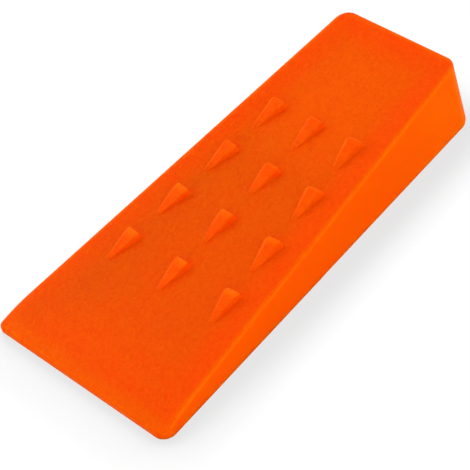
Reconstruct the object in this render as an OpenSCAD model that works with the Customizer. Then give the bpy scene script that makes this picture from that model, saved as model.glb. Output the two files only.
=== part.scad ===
// One-piece plastic felling wedge: a solid wedge with rows of small barbs on its upper face.
// +X runs from the thin tip to the thick poll, +Z is up, and the origin is the middle of the
// underside.

/* [Wedge] */
// Length from the tip to the poll
length = 140; // [116:1:300]
// Width of the underside at the tip
tip_w = 71; // [50:0.5:100]
// Width of the underside at the poll
poll_w = 47.6; // [35:0.5:90]
// Height of the poll, the end that is struck
poll_h = 22.3; // [15:0.1:40]
// Height of the upper face's plane where it reaches the tip
tip_h = 3.9; // [2.5:0.1:6]
// Draft of the two side faces, in degrees
draft = 3; // [0.5:0.5:5]

/* [Tip] */
// Distance from the tip at which the upper face starts to curve down
nose_len = 12.6; // [6:0.1:16]
// Radius of that curve, seen from the side
nose_r = 53; // [44:1:200]

/* [Corners] */
// Radius of the tip corner on -Y, seen from above
tip_corner_r = 3.9; // [1:0.1:10]
// Radius of the tip corner on +Y
far_tip_corner_r = 1.5; // [1:0.1:10]
// Radius of the two corners at the poll
poll_corner_r = 4.6; // [1:0.1:10]

/* [Barbs] */
// Number of rows of barbs along the wedge
rows = 4; // [1:1:4]
// Number of barbs in each row
columns = 3; // [1:1:3]
// Distance from the poll to the back of the row nearest to it
row_inset = 37.4; // [20:0.1:45]
// Distance from one row to the next
row_pitch = 19.3; // [13:0.1:20]
// Distance from the side edge of the upper face to the middle of an outer barb
side_inset = 10.7; // [6:0.1:13]
// How far the middle of the pattern stands off the wedge's centre line, towards +Y
barb_shift = -0.3; // [-2:0.05:2]
// Length of a barb
barb_len = 11.1; // [5:0.1:12]
// Width of a barb across its back
barb_w = 6.2; // [2:0.1:7]
// Height of a barb at its back, above the upper face
barb_h = 1.65; // [0.8:0.05:3]
// Width of the blunt point of a barb
barb_point_w = 1.5; // [0.2:0.1:2]
// Height of the blunt point of a barb, above the upper face
barb_point_h = 0.15; // [0.1:0.05:0.5]

/* [Hidden] */
$fn = 96;

// Overlap that cutting shapes reach past the solid they cut
past = 2;

// How much a rounding's radius exceeds that of a true tangent, so that it crosses both faces
blend = 1.002;

// Slope of the upper face, turn of a side face in plan
face_slope = atan((poll_h - tip_h) / length);
side_turn = atan((tip_w - poll_w) / 2 / length);

// Lean of the edge where a side face meets an end face, and the side's turn seen along it
edge_lean = atan(tan(draft) / cos(side_turn));
edge_turn = asin(sin(side_turn) * cos(draft));

// Where the upper face starts to curve down
nose_x = nose_len - length / 2;

// How far a barb's root reaches into the wedge, and the slope of a barb's top
barb_root = 1;
barb_slope = atan(tan(face_slope) + (barb_h - barb_point_h) / barb_len);

// Height of the upper face's plane above the underside
function face_z(x) = tip_h + (x + length / 2) * tan(face_slope);

// Half width of the underside, then of the upper face
function half_w(x) = poll_w / 2 + (length / 2 - x) * tan(side_turn);
function face_half_w(x) = half_w(x) - face_z(x) * tan(draft) / cos(side_turn);

// Place of each row's back edge
function row_x(row) = length / 2 - row_inset - row * row_pitch;

// Column's share of the spread, from -1 on the -Y side to 1 on the +Y side
function column_share(column) = columns == 1 ? 0 : 2 * column / (columns - 1) - 1;

// Outline seen from the side: a wedge whose upper face curves down to the tip
module side_profile() {
    intersection() {
        polygon([
            [-length / 2, 0],
            [length / 2, 0],
            [length / 2, poll_h],
            [-length / 2, tip_h]
        ]);
        union() {
            translate([nose_x + nose_r * sin(face_slope), face_z(nose_x) - nose_r * cos(face_slope)])
                circle(nose_r, $fn = 360);
            translate([nose_x, -past])
                square([length, poll_h + 2 * past]);
        }
    }
}

// Everything on the inner side of the drafted side face on +Y
module inside_of_side() {
    reach = 2 * length;
    translate([length / 2, poll_w / 2, 0])
        rotate([0, 0, -side_turn])
        rotate([draft, 0, 0])
        translate([-reach + past, -reach, -reach / 2])
        cube([reach + length, reach, reach]);
}

// What rounding an upright corner at [0, 0] takes away. The end face lies on x = 0 and the
// side face leaves it at the given turn.
module corner_waste(r, turn) {
    tangent = r / tan((90 + turn) / 2);
    reach = r + past;
    translate([0, 0, -past])
        difference() {
            linear_extrude(poll_h + 4 * past)
                polygon([
                    [-r, -tangent],
                    [past, -tangent],
                    [past, reach],
                    [-r + reach * sin(turn), -tangent + reach * cos(turn)]
                ]);
            translate([-r, -tangent, -past])
                cylinder(r = r * blend, h = poll_h + 6 * past);
        }
}

// Waste of the two corners on +Y, one at the tip and one at the poll
module corners_waste(tip_r) {
    translate([length / 2, poll_w / 2, 0])
        rotate([edge_lean, 0, 0])
        corner_waste(poll_corner_r, edge_turn);
    translate([-length / 2, tip_w / 2, 0])
        rotate([edge_lean, 0, 0])
        mirror([1, 0, 0])
        corner_waste(tip_r, -edge_turn);
}

module plain_wedge() {
    difference() {
        intersection() {
            translate([0, tip_w, 0])
                rotate([90, 0, 0])
                linear_extrude(2 * tip_w)
                side_profile();
            inside_of_side();
            mirror([0, 1, 0])
                inside_of_side();
        }
        corners_waste(far_tip_corner_r);
        mirror([0, 1, 0])
            corners_waste(tip_corner_r);
    }
}

// One barb with its back at x = 0 on the face, its point towards the tip and its root sunk
// into the wedge
module barb() {
    face_drop = barb_len * tan(face_slope);
    depth = barb_root + face_drop;
    intersection() {
        translate([0, 0, -depth])
            linear_extrude(depth + barb_h)
            polygon([
                [0, -barb_w / 2],
                [0, barb_w / 2],
                [-barb_len, barb_point_w / 2],
                [-barb_len, -barb_point_w / 2]
            ]);
        translate([0, 0, barb_h])
            rotate([0, -barb_slope, 0])
            translate([-2 * barb_len, -barb_w, -4 * barb_len])
            cube([4 * barb_len, 2 * barb_w, 4 * barb_len]);
    }
}

// Rows of barbs whose outer columns run parallel to the sides
module barbs() {
    for (row = [0 : rows - 1])
        for (column = [0 : columns - 1])
            let (
                x = row_x(row),
                share = column_share(column),
                y = share * (face_half_w(x) - side_inset) + barb_shift
            )
            translate([x, y, face_z(x)])
                rotate([0, 0, -share * side_turn])
                barb();
}

module wedge_body() {
    color("orangered")
        union() {
            plain_wedge();
            barbs();
        }
}

wedge_body();
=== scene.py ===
"""Felling wedge: the moulded surface of a one-piece plastic wedge, its finish and its studio.

The wedge lies on the floor with its thin tip towards -X, its thick poll towards +X and its
barbed upper face up. Sizes are in millimetres and are turned into metres by MM.
"""

import logging
import math
from dataclasses import dataclass
from enum import Enum
from typing import ClassVar

import bmesh
import bpy
from mathutils import Matrix, Vector


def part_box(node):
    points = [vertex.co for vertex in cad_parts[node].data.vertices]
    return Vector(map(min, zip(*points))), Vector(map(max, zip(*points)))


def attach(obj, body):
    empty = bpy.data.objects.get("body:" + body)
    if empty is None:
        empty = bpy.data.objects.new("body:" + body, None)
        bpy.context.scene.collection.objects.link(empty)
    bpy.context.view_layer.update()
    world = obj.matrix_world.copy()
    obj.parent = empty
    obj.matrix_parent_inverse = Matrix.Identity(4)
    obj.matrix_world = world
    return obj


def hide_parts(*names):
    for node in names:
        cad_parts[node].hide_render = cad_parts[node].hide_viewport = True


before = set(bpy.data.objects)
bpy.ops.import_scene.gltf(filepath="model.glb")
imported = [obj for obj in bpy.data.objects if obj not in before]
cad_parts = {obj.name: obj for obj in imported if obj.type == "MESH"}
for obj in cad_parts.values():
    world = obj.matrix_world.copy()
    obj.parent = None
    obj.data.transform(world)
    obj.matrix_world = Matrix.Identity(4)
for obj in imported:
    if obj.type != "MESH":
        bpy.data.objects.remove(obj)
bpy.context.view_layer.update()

NODE = "wedge_body"
BODY = "root"
MM = 0.001
# Name of the attribute that holds how sharply each point's edge bends; the finish paints a
# highlight with it.
EDGE_BEND = "edge_wear"

# What keeps a division from meeting 0, and how near two points of a barb are to count as one
TINY = 1e-6
MERGE = 1e-4

Colour = tuple[float, float, float]
Span = tuple[float, float]
Tint = bpy.types.NodeSocket | Colour

log = logging.getLogger("felling_wedge")


class Solver(Enum):
    """How two closed meshes are joined into one."""

    MANIFOLD = "MANIFOLD"
    EXACT = "EXACT"


@dataclass(frozen=True)
class Field:
    """A number that flows through a node tree, on which arithmetic adds Math nodes."""

    maker: "TreeMaker"
    socket: bpy.types.NodeSocket

    def __add__(self, other: "Field | float") -> "Field":
        """The sum of the two."""
        return self.maker.math("ADD", self, other)

    def __sub__(self, other: "Field | float") -> "Field":
        """What is left of this one without the other."""
        return self.maker.math("SUBTRACT", self, other)

    def __rsub__(self, other: float) -> "Field":
        """What is left of the plain number without this one."""
        return self.maker.math("SUBTRACT", other, self)

    def __mul__(self, other: "Field | float") -> "Field":
        """The product of the two."""
        return self.maker.math("MULTIPLY", self, other)

    def __truediv__(self, other: "Field | float") -> "Field":
        """This one divided by the other."""
        return self.maker.math("DIVIDE", self, other)

    __radd__ = __add__
    __rmul__ = __mul__

    def least(self, other: "Field | float") -> "Field":
        """The smaller of the two."""
        return self.maker.math("MINIMUM", self, other)

    def most(self, other: "Field | float") -> "Field":
        """The larger of the two."""
        return self.maker.math("MAXIMUM", self, other)

    def root(self) -> "Field":
        """The square root, or 0 where there is none."""
        return self.maker.math("SQRT", self.most(0.0))

    def size(self) -> "Field":
        """The value without its sign."""
        return self.maker.math("ABSOLUTE", self)

    def below(self, other: "Field | float") -> "Field":
        """1 where this one is below the other, and 0 elsewhere."""
        return self.maker.math("LESS_THAN", self, other)

    def eased(self, low: float, high: float) -> "Field":
        """Rises smoothly from 0 to 1 as the value goes from low to high.

        Args:
            low: The value at which the rise starts.
            high: The value at which it ends.

        Returns:
            The eased share.
        """
        node = self.maker.node("ShaderNodeMapRange", interpolation_type="SMOOTHSTEP")
        for name, value in (("Value", self), ("From Min", low), ("From Max", high)):
            self.maker.feed(node.inputs[name], value)
        return Field(self.maker, node.outputs["Result"])


class TreeMaker:
    """Builds a node tree, for geometry or for a material, one node at a time."""

    def __init__(self, tree: bpy.types.NodeTree) -> None:
        """Starts on a tree with no nodes in it.

        Args:
            tree: The tree that the nodes go into.
        """
        self.tree = tree
        tree.nodes.clear()

    def feed(self, socket: bpy.types.NodeSocket, value: object) -> None:
        """Links or sets one input.

        Args:
            socket: The input.
            value: A field or socket to link, or a plain value to set.
        """
        if isinstance(value, Field):
            value = value.socket
        if isinstance(value, bpy.types.NodeSocket):
            self.tree.links.new(value, socket)
        else:
            socket.default_value = value

    def node(
        self, kind: str, inputs: dict[str | int, object] | None = None, **settings: object
    ) -> bpy.types.Node:
        """Adds a node.

        Args:
            kind: Blender's name of the node's type.
            inputs: What its inputs get, by name or number.
            **settings: The node's own properties.

        Returns:
            The new node.
        """
        node = self.tree.nodes.new(kind)
        for name, value in settings.items():
            setattr(node, name, value)
        for key, value in (inputs or {}).items():
            self.feed(node.inputs[key], value)
        return node

    def math(self, operation: str, *values: "Field | float") -> Field:
        """Adds a Math node.

        Args:
            operation: Blender's name of the operation.
            *values: Its operands.

        Returns:
            The result.
        """
        node = self.node("ShaderNodeMath", dict(enumerate(values)), operation=operation)
        return Field(self, node.outputs["Value"])

    def split(self, vector: bpy.types.NodeSocket) -> tuple[Field, Field, Field]:
        """Takes a vector apart.

        Args:
            vector: The vector's socket.

        Returns:
            Its X, Y and Z.
        """
        node = self.node("ShaderNodeSeparateXYZ", {"Vector": vector})
        return tuple(Field(self, node.outputs[axis]) for axis in "XYZ")

    def join(
        self, x: "Field | float", y: "Field | float", z: "Field | float"
    ) -> bpy.types.NodeSocket:
        """Puts a vector together.

        Args:
            x: Its X.
            y: Its Y.
            z: Its Z.

        Returns:
            The vector's socket.
        """
        return self.node("ShaderNodeCombineXYZ", {"X": x, "Y": y, "Z": z}).outputs["Vector"]


class ShapeMaker(TreeMaker):
    """A Geometry Nodes tree with named inputs, which can be run on an empty object."""

    def __init__(self, name: str) -> None:
        """Starts a tree with a geometry output.

        Args:
            name: The tree's name.
        """
        super().__init__(bpy.data.node_groups.new(name, "GeometryNodeTree"))
        self.tree.interface.new_socket(
            "Geometry", in_out="OUTPUT", socket_type="NodeSocketGeometry"
        )
        self.inlet = self.tree.nodes.new("NodeGroupInput")
        self.values: dict[str, object] = {}

    def given(
        self, name: str, value: object, kind: str = "NodeSocketFloat"
    ) -> bpy.types.NodeSocket:
        """Adds a named input to the tree.

        Args:
            name: The input's name.
            value: What it is set to when the tree is run.
            kind: Blender's name of the socket's type.

        Returns:
            The socket that gives the value inside the tree.
        """
        socket = self.tree.interface.new_socket(name, in_out="INPUT", socket_type=kind)
        self.values[socket.identifier] = value
        return self.inlet.outputs[name]

    def number(self, name: str, value: float) -> Field:
        """Adds a named number to the tree.

        Args:
            name: The input's name.
            value: Its value.

        Returns:
            The number as a field.
        """
        return Field(self, self.given(name, value))

    def moved(
        self, shape: bpy.types.NodeSocket, x: Field, y: Field, z: "Field | float"
    ) -> bpy.types.NodeSocket:
        """Puts every point of a shape in a new place.

        Args:
            shape: The geometry.
            x: The points' new X.
            y: The points' new Y.
            z: The points' new Z.

        Returns:
            The geometry with its points moved.
        """
        inputs = {"Geometry": shape, "Position": self.join(x, y, z)}
        return self.node("GeometryNodeSetPosition", inputs).outputs["Geometry"]

    def place(self) -> tuple[Field, Field, Field]:
        """The X, Y and Z of each point where it now is."""
        return self.split(self.node("GeometryNodeInputPosition").outputs["Position"])

    def run(self, shape: bpy.types.NodeSocket, name: str) -> bpy.types.Object:
        """Ends the tree, evaluates it and keeps the result as a plain mesh.

        Args:
            shape: The geometry that the tree gives.
            name: The name of the new object.

        Returns:
            An object at the origin that holds the mesh and no modifier.
        """
        self.node("NodeGroupOutput", {0: shape})
        seed = bpy.data.objects.new(name + "_seed", bpy.data.meshes.new(name + "_seed"))
        bpy.context.scene.collection.objects.link(seed)
        modifier = seed.modifiers.new(self.tree.name, "NODES")
        modifier.node_group = self.tree
        for identifier, value in self.values.items():
            modifier[identifier] = value
        evaluated = seed.evaluated_get(bpy.context.evaluated_depsgraph_get())
        mesh = bpy.data.meshes.new_from_object(evaluated)
        mesh.name = name
        piece = bpy.data.objects.new(name, mesh)
        bpy.context.scene.collection.objects.link(piece)
        bpy.data.objects.remove(seed)
        return piece


def around(angle: float) -> Vector:
    """The flat unit vector at an angle from X."""
    return Vector((math.cos(angle), math.sin(angle)))


@dataclass(frozen=True)
class Grid:
    """How finely the wedge's surface is divided. Steps are counted in from the outline."""

    edge_steps: int = 6
    band_steps: int = 12
    steps_x: int = 46
    steps_y: int = 28
    steps_z: int = 12


@dataclass(frozen=True)
class WedgeForm:
    """The plain wedge without its barbs: sizes in millimetres, angles in radians."""

    length: float
    poll_height: float
    tip_width: float = 71.0
    poll_width: float = 47.6
    tip_height: float = 3.9
    draft: float = math.radians(3.0)
    nose_length: float = 12.6
    nose_radius: float = 53.0
    tip_corners: tuple[float, float] = (3.9, 1.5)
    poll_corner: float = 4.6
    face_edge: float = 0.4
    base_edge: float = 0.15
    poll_face_edge: float = 0.4
    poll_base_edge: float = 2.6
    roll_width: float = 1.8
    roll_depth: float = 0.12
    side_bow: float = 0.05
    tip_blend: Span = (-0.15, 0.15)
    grid: Grid = Grid()

    @property
    def slope(self) -> float:
        """The upper face's slope."""
        return math.atan2(self.poll_height - self.tip_height, self.length)

    @property
    def turn(self) -> float:
        """The turn of a side face, seen from above."""
        return math.atan2((self.tip_width - self.poll_width) / 2, self.length)

    def half_width(self, x: "Field | float") -> "Field | float":
        """Half the underside's width.

        Args:
            x: The place along the wedge.

        Returns:
            The half width there.
        """
        return (self.length / 2 - x) * math.tan(self.turn) + self.poll_width / 2

    def face_height(self, x: "Field | float") -> "Field | float":
        """Height of the upper face's plane.

        Args:
            x: The place along the wedge.

        Returns:
            The height there above the underside.
        """
        return (x + self.length / 2) * math.tan(self.slope) + self.tip_height

    def nosed_height(self, x: Field) -> Field:
        """Height of the upper face, which curves down to the tip.

        Args:
            x: The place along the wedge.

        Returns:
            The height there above the underside.
        """
        start = self.nose_length - self.length / 2
        centre_x = start + self.nose_radius * math.sin(self.slope)
        centre_z = self.face_height(start) - self.nose_radius * math.cos(self.slope)
        curved = x.least(start)
        across = curved - centre_x
        arc = (self.nose_radius**2 - across * across).root() + centre_z
        return arc + (x - curved) * math.tan(self.slope)

    def inset(self, steps: Field, corner: Field) -> Field:
        """How far in from the outline a grid line lies.

        Args:
            steps: Grid steps between the outline and the line.
            corner: Radius of the corner that the line runs round.

        Returns:
            The distance, which never exceeds the corner's radius.
        """
        grid = self.grid
        quarter = (steps / grid.edge_steps).least(1.0) * (math.pi / 2)
        in_edge = (1.0 - steps.maker.math("COSINE", quarter)) * self.face_edge
        share = (steps - grid.edge_steps) / (grid.band_steps - grid.edge_steps)
        return in_edge + share.most(0.0).least(1.0) * (corner - self.face_edge)

    def edge_drop(self, inset: Field, radius: Field) -> Field:
        """How far a rounded edge falls away from the face that it ends.

        Args:
            inset: Distance in from the outline.
            radius: Radius of the edge.

        Returns:
            The fall.
        """
        run = radius - inset.least(radius)
        return radius - (radius * radius - run * run).root()

    def build(self, maker: ShapeMaker) -> bpy.types.NodeSocket:
        """Bends a finely divided box into the rounded, drafted wedge.

        Each point of the box is sent to a core, which is the outline moved in by the corners'
        radius, and from there outwards along the normal of the nearest side, end or corner.

        Args:
            maker: The tree to build in.

        Returns:
            The closed mesh, in millimetres.
        """
        grid = self.grid
        counts = {
            "Vertices " + axis: 2 * steps + 1
            for axis, steps in (("X", grid.steps_x), ("Y", grid.steps_y))
        }
        box = maker.node("GeometryNodeMeshCube", {**counts, "Vertices Z": grid.steps_z + 1})
        along, across, up = maker.place()

        steps_x = maker.math("ROUND", (1.0 - along.size() * 2.0) * grid.steps_x)
        steps_y = maker.math("ROUND", (1.0 - across.size() * 2.0) * grid.steps_y)
        end = 1.0 - along.below(0.0) * 2.0
        side = 1.0 - across.below(0.0) * 2.0
        core_x = 1.0 - (steps_x - grid.band_steps).most(0.0) / (grid.steps_x - grid.band_steps)
        core_y = 1.0 - (steps_y - grid.band_steps).most(0.0) / (grid.steps_y - grid.band_steps)

        share = (end * core_x + 1.0) * 0.5
        near_tip, far_tip = self.tip_corners
        tip_corner = across.eased(*self.tip_blend) * (far_tip - near_tip) + near_tip
        corner = share * (self.poll_corner - tip_corner) + tip_corner
        core_length = (self.length - self.poll_corner) - tip_corner
        x = share * core_length + (tip_corner - self.length / 2)
        y = (self.half_width(x) - corner / math.cos(self.turn)) * core_y

        reach_x = corner - self.inset(steps_x, corner)
        reach_y = corner - self.inset(steps_y, corner)
        reach = reach_x.most(reach_y)
        ratio = reach_x.least(reach_y) / reach.most(TINY) * 0.5
        sideways = reach_x.below(reach_y)
        fan = ratio + sideways * (1.0 - ratio * 2.0)
        angle = fan * (math.pi / 2 - end * self.turn)
        x = x + end * reach * maker.math("COSINE", angle)
        y = y + reach * maker.math("SINE", angle)

        inset = corner - reach
        rolled = 1.0 - (inset / self.roll_width).least(1.0)
        endward = (1.0 - angle / (math.pi / 2)).most(0.0) * end.most(0.0)
        face_edge = endward * (self.poll_face_edge - self.face_edge) + self.face_edge
        base_edge = endward * (self.poll_base_edge - self.base_edge) + self.base_edge
        high = self.nosed_height(x) - self.edge_drop(inset, face_edge)
        high = high - rolled * rolled * self.roll_depth
        low = self.edge_drop(inset, base_edge)
        z = low + (high - low) * (up + 0.5)

        middle = x / (self.length / 2)
        lean = math.tan(self.draft) / math.cos(self.turn)
        narrowing = z * lean + (1.0 - middle * middle) * self.side_bow
        y = y * (1.0 - narrowing / self.half_width(x)) * side
        return maker.moved(box.outputs["Mesh"], x, y, z)


@dataclass(frozen=True)
class Barb:
    """One barb: a low ramp with leaning flanks, from its point up to its back. Millimetres."""

    length: float = 11.1
    width: float = 7.2
    height: float = 1.65
    point_width: float = 1.6
    point_height: float = 0.15
    back_corner: float = 0.9
    point_corner: float = 0.5
    flank_edge: float = 0.6
    flank_lean: float = 0.65
    back_edge: float = 0.8
    foot: float = 0.45
    root: float = 1.0
    shoulder: float = 1.3
    root_share: float = 0.12
    edge_limit: float = 0.5
    corner_limit: float = 0.75
    foot_limit: float = 0.4
    side_steps: int = 10
    corner_steps: int = 6
    edge_steps: int = 5

    def rise(self, x: float) -> float:
        """Height of the ramp above the face.

        Args:
            x: Place along the barb, 0 at its back and minus its length at its point.

        Returns:
            The height there.
        """
        share = 1 + x / self.length
        return self.point_height + (self.height - self.point_height) * share

    def outline(self) -> list[tuple[Vector, Vector, float]]:
        """The barb seen from above, from the middle of its back round to there again.

        Returns:
            For each point of the outline, its place, its normal and its corner's radius.
        """
        flank = math.pi / 2 + math.atan2((self.width - self.point_width) / 2, self.length)
        turns = (
            (0.0, self.width / 2, self.back_corner, 0.0, flank),
            (-self.length, self.point_width / 2, self.point_corner, flank, math.pi),
        )
        upper = [(Vector((0, 0)), Vector((1, 0)), self.back_corner)]
        for x, y, radius, start, stop in turns:
            miter = radius / math.cos((stop - start) / 2)
            centre = Vector((x, y)) - around((start + stop) / 2) * miter
            first = centre + around(start) * radius
            place, normal, before = upper[-1]
            for step in range(1, self.side_steps):
                share = step / self.side_steps
                spread = before + (radius - before) * share
                upper.append((place.lerp(first, share), normal, spread))
            for step in range(self.corner_steps + 1):
                normal = around(start + (stop - start) * step / self.corner_steps)
                upper.append((centre + normal * radius, normal, radius))
        upper.append((Vector((-self.length, 0)), Vector((-1, 0)), self.point_corner))
        flip = Vector((1, -1))
        lower = [(place * flip, normal * flip, radius) for place, normal, radius in upper[1:-1]]
        return upper + lower[::-1]

    def profile(self) -> list[tuple[float, float, float]]:
        """The wall from its root to its upper edge.

        Returns:
            For each ring, the offset from the outline in foot radii and in edge radii, and how
            high the ring is as a share: below 0 at the root, 0 to 1 in the foot's hollow, and
            1 to 2 in the rounding of the upper edge.
        """
        first = self.root_share
        rings = [(1 - math.sin(first * math.pi / 2), 0.0, -1.0)]
        for step in range(self.edge_steps + 1):
            angle = (first + (1 - first) * step / self.edge_steps) * math.pi / 2
            rings.append((1 - math.sin(angle), 0.0, 1 - math.cos(angle)))
        for step in range(self.edge_steps + 1):
            angle = step / self.edge_steps * math.pi / 2
            rings.append((0.0, 1 - math.cos(angle), 1 + math.sin(angle)))
        rings.append((0.0, self.shoulder, 2.0))
        return rings

    def ring_point(
        self, corner: tuple[Vector, Vector, float], ring: tuple[float, float, float]
    ) -> Vector:
        """One point of the wall.

        Args:
            corner: The point of the outline, as outline() gives it.
            ring: The ring, as profile() gives it.

        Returns:
            The point, with Z above the wedge's face.
        """
        place, normal, radius = corner
        in_foot, in_edge, level = ring
        local = self.rise(place.x)
        facing_back = max(normal.x, 0.0) ** 2
        edge = self.flank_edge + (self.back_edge - self.flank_edge) * facing_back
        edge = min(edge, self.edge_limit * local, self.corner_limit * radius)
        foot = min(self.foot, self.foot_limit * local)
        spot = place + normal * (in_foot * foot - in_edge * edge)
        high = level * foot if level <= 1 else self.rise(spot.x) - (2 - level) * edge
        share = 1 + min(spot.x, 0.0) / self.length
        half = (self.point_width + (self.width - self.point_width) * share) / 2
        narrowing = 1 - max(high, 0.0) * self.flank_lean / half
        return Vector((spot.x, spot.y * narrowing, -self.root if level < 0 else high))

    def build(self) -> bpy.types.Object:
        """Makes the barb's closed mesh as rings from its root up, with a flat cap on each end.

        Returns:
            The object, with its back at x = 0 and the wedge's face at z = 0.
        """
        outline = self.outline()
        shell = bmesh.new()
        rings = [
            [shell.verts.new(self.ring_point(corner, ring)) for corner in outline]
            for ring in self.profile()
        ]
        for lower, upper in zip(rings, rings[1:]):
            for here in range(len(outline)):
                after = (here + 1) % len(outline)
                shell.faces.new((lower[here], lower[after], upper[after], upper[here]))
        shell.faces.new(rings[0][::-1])
        shell.faces.new(rings[-1])
        bmesh.ops.remove_doubles(shell, verts=shell.verts, dist=MERGE)
        bmesh.ops.recalc_face_normals(shell, faces=shell.faces)
        mesh = bpy.data.meshes.new("barb")
        shell.to_mesh(mesh)
        shell.free()
        return bpy.data.objects.new("barb", mesh)


@dataclass(frozen=True)
class BarbField:
    """Rows of barbs whose outer columns run parallel to the wedge's sides. Millimetres."""

    rows: int = 4
    columns: int = 3
    row_inset: float = 37.4
    row_pitch: float = 19.3
    side_inset: float = 10.7
    offset: float = 0.1

    def build(
        self, maker: ShapeMaker, form: WedgeForm, barb: bpy.types.Object
    ) -> bpy.types.NodeSocket:
        """Sets a copy of the barb at each place of the pattern and seats it on the face.

        Args:
            maker: The tree to build in.
            form: The wedge that carries the barbs.
            barb: One barb.

        Returns:
            The barbs as one mesh.
        """
        rows = maker.given("Rows of barbs", self.rows, "NodeSocketInt")
        pitch = maker.number("Row pitch", self.row_pitch)
        inset = maker.number("Barb inset from the side", self.side_inset)
        count = Field(maker, rows) * self.columns
        points = maker.node("GeometryNodePoints", {"Count": count})
        index = Field(maker, maker.node("GeometryNodeInputIndex").outputs["Index"])
        row = maker.math("FLOOR", (index + 0.5) / self.columns)
        share = (index - row * self.columns) * (2 / (self.columns - 1)) - 1.0

        x = (form.length / 2 - self.row_inset) - row * pitch
        lean = math.tan(form.draft) / math.cos(form.turn)
        y = share * (form.half_width(x) - form.face_height(x) * lean - inset) + self.offset
        spread = maker.moved(points.outputs["Points"], x, y, 0.0)

        shape = maker.given("Barb", barb, "NodeSocketObject")
        one = maker.node("GeometryNodeObjectInfo", {"Object": shape})
        placed = maker.node(
            "GeometryNodeInstanceOnPoints",
            {
                "Points": spread,
                "Instance": one.outputs["Geometry"],
                "Rotation": maker.join(0.0, 0.0, share * -form.turn),
            },
        )
        real = maker.node("GeometryNodeRealizeInstances", {0: placed.outputs[0]})
        x, y, z = maker.place()
        return maker.moved(real.outputs[0], x, y, z + form.face_height(x))


@dataclass(frozen=True)
class Sink:
    """The shallow dish that thick plastic leaves in the upper face as it cools. Millimetres."""

    depth: float = 0.35
    side_rim: Span = (1.0, 11.0)
    poll_rim: Span = (0.0, 11.0)
    along: Span = (-20.0, 35.0)

    def depth_at(self, form: WedgeForm, x: Field, y: Field) -> Field:
        """How deep the dish is.

        Args:
            form: The wedge.
            x: The place along it.
            y: The place across it.

        Returns:
            The depth there, 0 outside the dish.
        """
        from_side = form.half_width(x) - y.size()
        from_poll = form.length / 2 - x
        inside = from_side.eased(*self.side_rim) * from_poll.eased(*self.poll_rim)
        return inside * x.eased(*self.along) * self.depth


class FinishMaker(TreeMaker):
    """A material's tree, with the noise and the blends that a finish is made of."""

    def noise(self, place: bpy.types.NodeSocket, size: float, detail: float) -> Field:
        """A soft random field.

        Args:
            place: The coordinates' socket.
            size: Size of its blotches in metres.
            detail: How much finer noise is added.

        Returns:
            The noise, about 0 to 1.
        """
        inputs = {"Vector": place, "Scale": 1 / size, "Detail": detail}
        return Field(self, self.node("ShaderNodeTexNoise", inputs).outputs["Fac"])

    def mix(self, share: Field, low: Tint, high: Tint) -> bpy.types.NodeSocket:
        """Blends two colours.

        Args:
            share: 0 for the low colour, 1 for the high one.
            low: A colour or its socket.
            high: A colour or its socket.

        Returns:
            The blend.
        """
        node = self.node("ShaderNodeMix", data_type="RGBA")
        for name, value in (("Factor_Float", share), ("A_Color", low), ("B_Color", high)):
            socket = next(s for s in node.inputs if s.identifier == name)
            self.feed(socket, (*value, 1.0) if isinstance(value, tuple) else value)
        return next(s for s in node.outputs if s.identifier == "Result_Color")


@dataclass(frozen=True)
class Skin:
    """What a finish can tell about each point of the wedge's skin. Places are in metres."""

    maker: FinishMaker
    form: WedgeForm
    place: bpy.types.NodeSocket
    spot: tuple[Field, Field, Field]
    facing: tuple[Field, Field, Field]
    upward: Field
    barbed: Field

    upward_span: ClassVar[Span] = (0.55, 0.9)
    barb_span: ClassVar[Span] = (0.1 * MM, 0.5 * MM)

    @classmethod
    def of(cls, maker: FinishMaker, form: WedgeForm) -> "Skin":
        """Reads the point from the object's own coordinates.

        Args:
            maker: The material's tree.
            form: The wedge.

        Returns:
            The point.
        """
        own = maker.node("ShaderNodeTexCoord").outputs
        spot = maker.split(own["Object"])
        facing = maker.split(own["Normal"])
        upward = facing[2].eased(*cls.upward_span)
        barbed = cls.height_above(form, spot).eased(*cls.barb_span)
        return cls(maker, form, own["Object"], spot, facing, upward, barbed)

    @staticmethod
    def height_above(form: WedgeForm, spot: tuple[Field, Field, Field]) -> Field:
        """Height above the plane of the upper face.

        Args:
            form: The wedge.
            spot: The point's X, Y and Z.

        Returns:
            The height.
        """
        x, _, z = spot
        return z - (x * math.tan(form.slope) + form.face_height(0.0) * MM)

    def above(self) -> Field:
        """Height above the plane of the upper face."""
        return self.height_above(self.form, self.spot)

    def from_end(self) -> Field:
        """Distance from the nearer end of the wedge."""
        return self.form.length / 2 * MM - self.spot[0].size()

    def from_outline(self) -> Field:
        """How far in from the nearest side or end face the point lies.

        Returns:
            The distance.
        """
        x, y, z = self.spot
        form = self.form
        half = (form.length / 2 * MM - x) * math.tan(form.turn) + form.poll_width / 2 * MM
        from_side = half - z * math.tan(form.draft) - y.size()
        return from_side.least(self.from_end())


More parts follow.
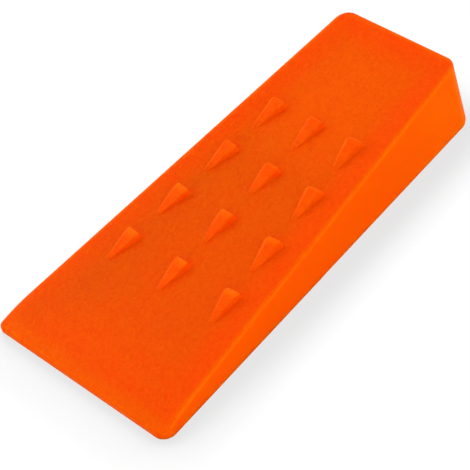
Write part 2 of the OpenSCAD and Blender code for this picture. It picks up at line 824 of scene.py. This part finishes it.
@dataclass(frozen=True)
class FaceTone:
    """The upper face, with painted light: a lighter panel, painted as the lamps' reflection in
    the dished middle, inside a redder rim; painted shade across the middle and towards the far
    side; a painted highlight along the edges and at the tip.
    """

    panel: Colour = (0.905, 0.100, 0.0003)
    painted_shade: Colour = (0.74, 0.086, 0.0003)
    rim: Colour = (0.985, 0.078, 0.0003)
    edge: Colour = (1.0, 0.126, 0.0003)
    rim_span: Span = (4.0 * MM, 13.0 * MM)
    thick_span: Span = (-45 * MM, 15 * MM)
    thick_gain: float = 0.6
    thin_share: float = 0.4
    cloud_size: float = 22 * MM
    cloud_gain: float = 0.5
    cloud_least: float = 0.75
    shade_rise: Span = (-66 * MM, -42 * MM)
    shade_fall: Span = (8 * MM, 34 * MM)
    shade_share: float = 0.5
    far_span: Span = (0.0, 28 * MM)
    far_share: float = 0.35
    far_rim_span: Span = (20 * MM, 30 * MM)
    far_rim_share: float = 0.2
    edge_span: Span = (0.5 * MM, 1.9 * MM)
    edge_share: float = 0.95
    tip_band: Span = (0.0, 7.0 * MM)
    tip_share: float = 0.75

    def colour(self, skin: Skin) -> bpy.types.NodeSocket:
        """Colours the upper face, with its painted reflection, shade and highlight.

        Args:
            skin: The point.

        Returns:
            The colour.
        """
        maker = skin.maker
        x, y, _ = skin.spot
        from_outline = skin.from_outline()
        # Painted reflection: the panel is lighter than the rim, most in the thick half, in soft
        # clouds.
        inner = from_outline.eased(*self.rim_span)
        thick = x.eased(*self.thick_span) * self.thick_gain + self.thin_share
        cloud = maker.noise(skin.place, self.cloud_size, detail=1.0) * self.cloud_gain
        panel = inner * thick * (cloud + self.cloud_least)
        colour = maker.mix(panel.least(1.0), self.rim, self.panel)

        # Painted shade: darker across the middle of the face and towards the far side.
        middle = x.eased(*self.shade_rise) * (1.0 - x.eased(*self.shade_fall))
        far = y.eased(*self.far_span) * self.far_share
        far_rim = y.eased(*self.far_rim_span) * self.far_rim_share
        painted_shade = inner * middle * self.shade_share + far + far_rim
        colour = maker.mix(painted_shade, colour, self.painted_shade)

        # Painted highlight: a light line along the edges and a lighter band at the tip.
        from_tip = x + skin.form.length / 2 * MM
        edge = (1.0 - from_outline.eased(*self.edge_span)) * self.edge_share
        edge = edge.most((1.0 - from_tip.eased(*self.tip_band)) * self.tip_share)
        return maker.mix(edge, colour, self.edge)


@dataclass(frozen=True)
class SideTone:
    """The side faces, with a painted reflection that makes them lighter towards the poll."""

    side: Colour = (0.995, 0.093, 0.0003)
    poll: Colour = (1.0, 0.112, 0.0003)
    poll_span: Span = (35 * MM, 62 * MM)

    def colour(self, skin: Skin) -> bpy.types.NodeSocket:
        """Colours the sides, the ends and the underside.

        Args:
            skin: The point.

        Returns:
            The colour.
        """
        # Painted reflection: lighter towards the poll.
        return skin.maker.mix(skin.spot[0].eased(*self.poll_span), self.side, self.poll)


@dataclass(frozen=True)
class BarbTone:
    """The barbs' painted light: a painted highlight on their tops, and painted shade on the
    flanks that face the near side.
    """

    lit_top: Colour = (0.995, 0.100, 0.0003)
    flank: Colour = (1.0, 0.078, 0.0002)
    flank_span: Span = (0.0, -0.5)

    def over(self, skin: Skin, colour: bpy.types.NodeSocket) -> bpy.types.NodeSocket:
        """Lays the barbs' painted highlight and shade over another colour.

        Args:
            skin: The point.
            colour: The colour beneath.

        Returns:
            The blend.
        """
        _, facing_far, _ = skin.facing
        # Painted highlight on the barbs' tops.
        colour = skin.maker.mix(skin.barbed, colour, self.lit_top)
        # Painted shade on the flanks that face the near side.
        flank = skin.barbed * (1.0 - skin.upward) * facing_far.eased(*self.flank_span)
        return skin.maker.mix(flank, colour, self.flank)


@dataclass(frozen=True)
class HollowShade:
    """Painted shade: a deeper colour where a barb stands over the face, from ambient occlusion
    that leans towards the far side and the poll.
    """

    colour: Colour = (0.96, 0.056, 0.0002)
    reach: float = 3.0 * MM
    gain: float = 2.0
    lean: tuple[float, float] = (0.25, 0.7)
    samples: int = 8

    def over(self, skin: Skin, colour: bpy.types.NodeSocket) -> bpy.types.NodeSocket:
        """Lays the painted shade round the barbs over another colour.

        Args:
            skin: The point.
            colour: The colour beneath.

        Returns:
            The blend.
        """
        maker = skin.maker
        facing_poll, facing_far, facing_up = skin.facing
        lean_x, lean_y = (skin.upward * share for share in self.lean)
        lean = maker.join(facing_poll + lean_x, facing_far + lean_y, facing_up)
        lean = maker.node("ShaderNodeVectorMath", {0: lean}, operation="NORMALIZE").outputs[0]
        open_part = maker.node(
            "ShaderNodeAmbientOcclusion",
            {"Distance": self.reach, "Normal": lean},
            samples=self.samples,
            only_local=True,
        ).outputs["AO"]
        # Painted shade, as strong as the barb hides the surroundings.
        share = ((1.0 - Field(maker, open_part)) * self.gain).least(1.0)
        return maker.mix(share, colour, self.colour)


@dataclass(frozen=True)
class EdgeHighlight:
    """Painted highlight: a lighter colour on the edges and on the barbs' high backs, where they
    catch the light.
    """

    colour: Colour = (1.0, 0.18, 0.001)
    edge_share: float = 0.8
    barb_share: float = 0.2
    end_span: Span = (0.5 * MM, 3.5 * MM)
    back_span: Span = (-0.1, 0.35)
    crown_span: Span = (1.15 * MM, 1.65 * MM)
    crown_share: float = 0.9
    patch_size: float = 6 * MM
    patch_gain: float = 0.8
    patch_least: float = 0.5

    def share(self, skin: Skin) -> Field:
        """How much painted highlight the skin gets.

        Args:
            skin: The point.

        Returns:
            0 on the plain faces to 1 on a sharp edge.
        """
        maker = skin.maker
        facing_poll, _, _ = skin.facing
        bent = Field(maker, maker.node("ShaderNodeAttribute", attribute_name=EDGE_BEND).outputs["Fac"])
        # Painted highlight along sharp edges (weaker on the barbs), on barb faces that face the
        # poll, and on the barbs' high backs.
        most = skin.barbed * (self.barb_share - self.edge_share) + self.edge_share
        painted_highlight = bent * bent * skin.from_end().eased(*self.end_span) * most
        painted_highlight = painted_highlight.most(skin.barbed * facing_poll.eased(*self.back_span) * skin.upward)
        crown = skin.above().eased(*self.crown_span) * skin.upward * self.crown_share
        return painted_highlight.most(crown)

    def over(
        self, skin: Skin, painted_highlight: Field, colour: bpy.types.NodeSocket
    ) -> bpy.types.NodeSocket:
        """Lays the painted highlight's colour over another in patches.

        Args:
            skin: The point.
            painted_highlight: How much painted highlight it gets.
            colour: The colour beneath.

        Returns:
            The blend.
        """
        # Noise breaks the painted highlight into patches.
        patches = skin.maker.noise(skin.place, self.patch_size, detail=2.0) * self.patch_gain
        patchy_highlight = painted_highlight * (patches + self.patch_least)
        return skin.maker.mix(patchy_highlight.least(1.0), colour, self.colour)


@dataclass(frozen=True)
class Grain:
    """The fine grain that the mould leaves, strongest on the upper face."""

    size: float = 1.3 * MM
    pore_size: float = 0.45 * MM
    pore_share: float = 0.4
    depth: float = 0.35 * MM
    least_depth: float = 0.2
    mottle: Colour = (0.10, 0.55, 0.0)

    def fields(self, skin: Skin) -> tuple[Field, Field]:
        """Makes the two sizes of grain.

        Args:
            skin: The point.

        Returns:
            The grain and the finer pores in it.
        """
        grain = skin.maker.noise(skin.place, self.size, detail=2.0)
        pores = skin.maker.noise(skin.place, self.pore_size, detail=1.0)
        return grain, pores

    def speckled(
        self, skin: Skin, grain: Field, pores: Field, colour: bpy.types.NodeSocket
    ) -> bpy.types.NodeSocket:
        """Varies a colour with the grain.

        Args:
            skin: The point.
            grain: The grain.
            pores: The pores.
            colour: The colour.

        Returns:
            The colour with its speckle.
        """
        maker = skin.maker
        speckle = (pores + grain - 1.0) * skin.upward
        speckle = maker.join(*(speckle * share + 1.0 for share in self.mottle))
        inputs = {0: colour, 1: speckle}
        return maker.node("ShaderNodeVectorMath", inputs, operation="MULTIPLY").outputs[0]

    def bumped(self, skin: Skin, grain: Field, pores: Field) -> bpy.types.NodeSocket:
        """Turns the grain into a bump.

        Args:
            skin: The point.
            grain: The grain.
            pores: The pores.

        Returns:
            The bumped normal.
        """
        face_share = skin.upward * (1.0 - self.least_depth) + self.least_depth
        relief = (grain + pores * self.pore_share) * face_share
        inputs = {"Height": relief, "Strength": 1.0, "Distance": self.depth}
        return skin.maker.node("ShaderNodeBump", inputs).outputs["Normal"]


@dataclass(frozen=True)
class MouldedPlastic:
    """Orange plastic, coloured right through, with a fine grain on its upper face."""

    face: FaceTone = FaceTone()
    side: SideTone = SideTone()
    barbs: BarbTone = BarbTone()
    hollow_shade: HollowShade = HollowShade()
    edge_highlight: EdgeHighlight = EdgeHighlight()
    grain: Grain = Grain()
    roughness: float = 0.34
    grain_roughness: float = 0.12
    highlight_polish: float = 0.1
    gloss: float = 0.012
    specular_tint: Colour = (1.0, 0.30, 0.02)
    translucency: float = 1.0
    scatter: Colour = (1.0, 0.06, 0.02)
    scatter_scale: float = 2.5 * MM

    def material(self, form: WedgeForm) -> bpy.types.Material:
        """Makes the material.

        Args:
            form: The wedge, whose outline the finish follows.

        Returns:
            The material.
        """
        material = bpy.data.materials.new("moulded_orange_plastic")
        material.use_nodes = True
        maker = FinishMaker(material.node_tree)
        skin = Skin.of(maker, form)
        colour = maker.mix(skin.upward, self.side.colour(skin), self.face.colour(skin))
        colour = self.barbs.over(skin, colour)
        # Painted shade round the barbs.
        colour = self.hollow_shade.over(skin, colour)
        # Painted highlight on edges and barb backs, where the surface is also made a little less
        # rough.
        painted_highlight = self.edge_highlight.share(skin)
        colour = self.edge_highlight.over(skin, painted_highlight, colour)
        grain, pores = self.grain.fields(skin)
        colour = self.grain.speckled(skin, grain, pores, colour)
        rough = grain * self.grain_roughness + self.roughness - painted_highlight * self.highlight_polish
        shader = maker.node(
            "ShaderNodeBsdfPrincipled",
            {
                "Base Color": colour,
                "Roughness": rough,
                "Specular IOR Level": self.gloss,
                "Specular Tint": (*self.specular_tint, 1.0),
                "Subsurface Weight": self.translucency,
                "Subsurface Radius": self.scatter,
                "Subsurface Scale": self.scatter_scale,
                "Normal": self.grain.bumped(skin, grain, pores),
            },
        )
        maker.node("ShaderNodeOutputMaterial", {"Surface": shader.outputs["BSDF"]})
        return material


@dataclass(frozen=True)
class Moulding:
    """The whole wedge: plain form, barbs and sink in one closed skin. Angles in radians."""

    form: WedgeForm
    barb: Barb = Barb()
    pattern: BarbField = BarbField()
    sink: Sink = Sink()
    finish: MouldedPlastic = MouldedPlastic()
    solver: Solver = Solver.MANIFOLD
    crease: float = math.radians(38)
    full_bend: float = 0.1

    def build(self) -> bpy.types.Object:
        """Joins the barbs to the wedge, lets the face sink and scales the result to metres.

        Returns:
            The finished piece, not yet tied to the frame.
        """
        maker = ShapeMaker("Felling wedge")
        barb = self.barb.build()
        wedge = self.form.build(maker)
        barbs = self.pattern.build(maker, self.form, barb)
        union = maker.node(
            "GeometryNodeMeshBoolean", operation="UNION", solver=self.solver.value
        )
        for mesh in (barbs, wedge):
            maker.feed(union.inputs["Mesh 2"], mesh)
        # The edges' bend, stored for the finish's painted highlight.
        bend = Field(maker, maker.node("GeometryNodeInputMeshEdgeAngle").outputs["Signed Angle"])
        painted_highlight = {
            "Geometry": union.outputs["Mesh"],
            "Name": EDGE_BEND,
            "Value": (bend / self.full_bend).least(1.0).most(0.0),
        }
        kind = {"data_type": "FLOAT", "domain": "POINT"}
        painted_highlight = maker.node("GeometryNodeStoreNamedAttribute", painted_highlight, **kind)
        x, y, z = maker.place()
        sunk = z - self.sink.depth_at(self.form, x, y) * (z / self.form.face_height(x)).least(1.0)
        shape = maker.moved(painted_highlight.outputs["Geometry"], x * MM, y * MM, sunk * MM)

        shape = maker.node("GeometryNodeSetShadeSmooth", {"Geometry": shape}).outputs[0]
        angle = Field(maker, maker.node("GeometryNodeInputMeshEdgeAngle").outputs[0])
        sharp = maker.math("GREATER_THAN", angle, self.crease)
        edges = {"Geometry": shape, "Selection": sharp, "Shade Smooth": False}
        shape = maker.node("GeometryNodeSetShadeSmooth", edges, domain="EDGE").outputs[0]
        material = self.finish.material(self.form)
        slot = maker.given("Finish", material, "NodeSocketMaterial")
        shape = maker.node("GeometryNodeRealizeInstances", {"Geometry": shape}).outputs[0]
        shape = maker.node("GeometryNodeSetMaterial", {"Geometry": shape, "Material": slot})
        piece = maker.run(shape.outputs[0], "felling_wedge")
        bpy.data.objects.remove(barb)
        return piece


@dataclass(frozen=True)
class Softbox:
    """A large soft lamp that faces the wedge: degrees, metres and watts."""

    name: str
    azimuth: float
    elevation: float
    distance: float
    size: float
    power: float

    def place(self, target: Vector) -> bpy.types.Object:
        """Adds the lamp to the scene.

        Args:
            target: The point that it faces.

        Returns:
            The lamp.
        """
        light = bpy.data.lights.new(self.name, "AREA")
        light.shape = "DISK"
        light.size = self.size
        light.energy = self.power
        lamp = bpy.data.objects.new(self.name, light)
        out = direction(self.azimuth, self.elevation)
        lamp.location = target + out * self.distance
        lamp.rotation_euler = out.to_track_quat("Z", "Y").to_euler()
        bpy.context.scene.collection.objects.link(lamp)
        return lamp


@dataclass(frozen=True)
class Viewpoint:
    """Where the camera stands, in degrees and millimetres. It clips at a distance in metres."""

    azimuth: float = -32.73
    elevation: float = 44.87
    roll: float = 17.29
    distance: float = 619.6
    target: tuple[float, float, float] = (-8.51, -3.26, 8.0)
    lens: float = 166.45
    clip_start: float = 0.01
    clip_end: float = 20.0

    def place(self) -> bpy.types.Object:
        """Adds the camera and makes it the scene's.

        Returns:
            The camera.
        """
        data = bpy.data.cameras.new("camera")
        data.lens = self.lens
        data.clip_start = self.clip_start
        data.clip_end = self.clip_end
        camera = bpy.data.objects.new("camera", data)
        back = direction(self.azimuth, self.elevation)
        level = Vector((0, 0, 1)).cross(back).normalized()
        up = back.cross(level)
        axes = Matrix((level, up, back)).transposed()
        turn = axes.to_4x4() @ Matrix.Rotation(-math.radians(self.roll), 4, "Z")
        spot = Vector(self.target) * MM + back * self.distance * MM
        camera.matrix_world = Matrix.Translation(spot) @ turn
        bpy.context.scene.collection.objects.link(camera)
        bpy.context.scene.camera = camera
        return camera


def direction(azimuth: float, elevation: float) -> Vector:
    """The direction from the wedge to something round it.

    Args:
        azimuth: Degrees round from -Y, towards +X.
        elevation: Degrees above the floor.

    Returns:
        A unit vector.
    """
    turn, lift = math.radians(azimuth), math.radians(elevation)
    flat = math.cos(lift)
    return Vector((math.sin(turn) * flat, -math.cos(turn) * flat, math.sin(lift)))


@dataclass(frozen=True)
class Studio:
    """A white floor with a painted shadow, a white surround and soft lamps."""

    floor_size: float = 6.0
    floor_colour: float = 0.8
    seen_colour: float = 0.03
    floor_glow: float = 0.985
    shade_depth: float = 0.22
    shade_samples: int = 16
    shade_gain: float = 2.5
    shade_reach: float = 14.5 * MM
    shade_lean: tuple[float, float, float] = (0.15, 0.45, 0.88)
    wide_shade_reach: float = 17.5 * MM
    wide_shade_lean: tuple[float, float, float] = (0.75, 0.5, 0.3)
    wide_shade_gain: float = 2.4
    surround: float = 0.50
    lamps: tuple[Softbox, ...] = (
        Softbox("key_lamp", 185.0, 28.0, 1.1, 0.8, 8.2),
        Softbox("back_lamp", 120.0, 30.0, 1.2, 0.8, 2.8),
        Softbox("fill_lamp", 20.0, 14.0, 1.2, 0.7, 6.9),
        Softbox("tip_lamp", -80.0, 16.0, 1.2, 0.7, 4.2),
    )
    view: Viewpoint = Viewpoint()

    def seen(self, maker: TreeMaker) -> Field:
        """Tells the rays that show the surroundings from those that light the wedge.

        Args:
            maker: The tree.

        Returns:
            1 for camera rays and for what shows in gloss or through glass, else 0.
        """
        path = maker.node("ShaderNodeLightPath")
        rays = ("Is Camera Ray", "Is Glossy Ray", "Is Transmission Ray")
        camera, glossy, through = (Field(maker, path.outputs[ray]) for ray in rays)
        return camera.most(glossy).most(through)

    def hidden(self, maker: TreeMaker, reach: float, lean: tuple[float, float, float]) -> Field:
        """How much of the surroundings the wedge hides from the floor.

        Args:
            maker: The tree.
            reach: How far away the wedge still counts, in metres.
            lean: Direction in which the floor looks up at the wedge.

        Returns:
            0 in the open to 1 where nothing is seen.
        """
        values = {"Distance": reach, "Normal": maker.join(*Vector(lean).normalized())}
        node = maker.node("ShaderNodeAmbientOcclusion", values, samples=self.shade_samples)
        return 1.0 - Field(maker, node.outputs["AO"])

    def floor(self) -> bpy.types.Object:
        """Lays the floor under the wedge, with a painted shadow in its glow.

        Returns:
            The floor.
        """
        half = self.floor_size / 2
        mesh = bpy.data.meshes.new("floor")
        corners = [(-half, -half, 0), (half, -half, 0), (half, half, 0), (-half, half, 0)]
        mesh.from_pydata(corners, [], [(0, 1, 2, 3)])
        material = bpy.data.materials.new("white_floor")
        material.use_nodes = True
        maker = TreeMaker(material.node_tree)
        seen = self.seen(maker)
        grey = seen * (self.seen_colour - self.floor_colour) + self.floor_colour
        matt = maker.node("ShaderNodeBsdfDiffuse", {"Color": maker.join(grey, grey, grey)})
        # Painted shadow: ambient occlusion that leans towards the wedge darkens the floor's glow,
        # in a near band and a wider one.
        near = self.hidden(maker, self.shade_reach, self.shade_lean) * self.shade_gain
        wide_shade = self.hidden(maker, self.wide_shade_reach, self.wide_shade_lean) * self.wide_shade_gain
        shade = 1.0 - near.most(wide_shade).least(1.0) * self.shade_depth
        glow = maker.node("ShaderNodeEmission", {"Strength": seen * shade * self.floor_glow})
        both = maker.node("ShaderNodeAddShader", {0: matt.outputs[0], 1: glow.outputs[0]})
        maker.node("ShaderNodeOutputMaterial", {"Surface": both.outputs[0]})
        mesh.materials.append(material)
        floor = bpy.data.objects.new("floor", mesh)
        bpy.context.scene.collection.objects.link(floor)
        return floor

    def surroundings(self) -> None:
        """Sets the white surround, which shows as plain white."""
        world = bpy.data.worlds.new("white_surround")
        world.use_nodes = True
        maker = TreeMaker(world.node_tree)
        strength = self.seen(maker) * (1.0 - self.surround) + self.surround
        sky = maker.node("ShaderNodeBackground", {"Color": (1, 1, 1, 1), "Strength": strength})
        maker.node("ShaderNodeOutputWorld", {"Surface": sky.outputs[0]})
        bpy.context.scene.world = world

    def build(self) -> bpy.types.Object:
        """Sets up everything that isn't the wedge.

        Returns:
            The floor.
        """
        self.surroundings()
        for lamp in self.lamps:
            lamp.place(Vector((0, 0, 0)))
        self.view.place()
        bpy.context.scene.view_settings.view_transform = "Standard"
        return self.floor()


def main() -> None:
    """Builds the wedge and its studio, and ties the wedge to the frame."""
    logging.basicConfig(level=logging.INFO, format="%(name)s: %(message)s")
    low, high = (Vector(corner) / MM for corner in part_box(NODE))
    form = WedgeForm(length=high.x - low.x, poll_height=high.z - low.z)
    piece = Moulding(form).build()
    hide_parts(NODE)
    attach(piece, BODY)
    log.info("%s: %d faces", piece.name, len(piece.data.polygons))
    floor = Studio().build()
    log.info("%s: laid", floor.name)


if __name__ == "__main__":
    main()
